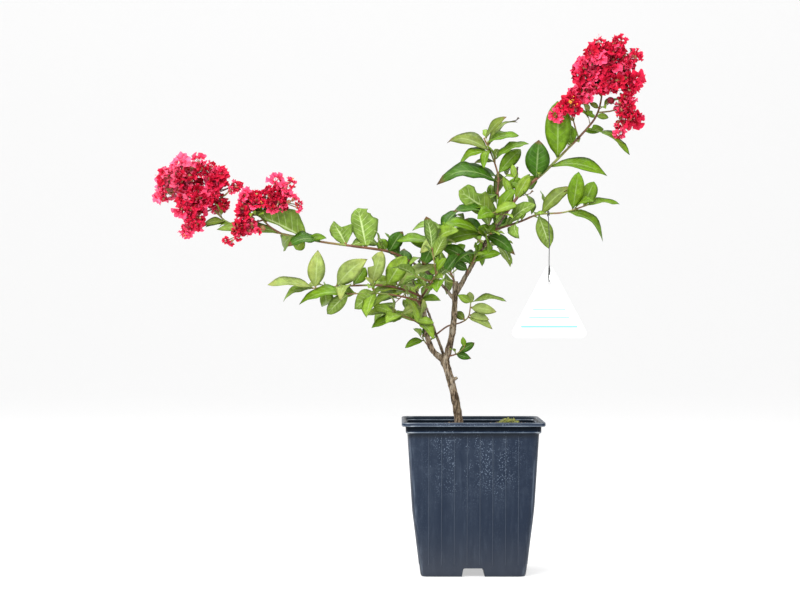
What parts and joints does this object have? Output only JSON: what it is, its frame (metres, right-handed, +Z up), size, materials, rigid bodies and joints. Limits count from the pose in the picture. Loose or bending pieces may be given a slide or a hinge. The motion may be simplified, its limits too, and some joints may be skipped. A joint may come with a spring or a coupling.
{
  "type": "potted crape myrtle tree",
  "caption": "Young crape myrtle in a square nursery pot, with a forked slender trunk, leafy arching shoots, crimson blossom at their ends and a blank hanging label.",
  "frame": {"origin": "middle of the whole plant's footprint at the level of the pot's underside", "axes": "+Z up, +X to the right of the plant's open face where the tallest flower head is, +Y away from that face"},
  "size_m": [0.5226, 0.2106, 0.581],
  "materials": {
    "pot": "satin",
    "soil": "matte",
    "moss": "matte",
    "bark": "matte",
    "label": "satin",
    "label_wire": "satin",
    "foliage": "satin",
    "blossom": "matte"
  },
  "bodies": {
    "root": {"pot": "pot", "soil": "soil", "moss_tuft": "moss", "trunk": "bark", "left_stem": "bark", "right_stem": "bark", "middle_stem": "bark", "right_bough": "bark", "left_bough": "bark", "label": "label", "label_wire": "label_wire", "right_arm": "foliage", "right_flower_head": "blossom", "left_arm": "foliage", "left_flower_head": "blossom", "second_flower_head": "blossom", "top_shoot": "foliage", "side_shoot": "foliage", "low_left_shoot": "foliage", "low_left_twig": "foliage", "low_left_spray": "foliage", "bough_spray_low": "foliage", "bough_spray_mid": "foliage", "bough_spray_top": "foliage", "centre_left_shoot": "foliage", "crossing_twig": "foliage", "low_right_twig": "foliage", "low_stem_twig": "foliage", "back_left_shoot": "foliage", "back_middle_shoot": "foliage", "back_right_shoot": "foliage", "front_shoot": "foliage"}
  },
  "joints": []
}
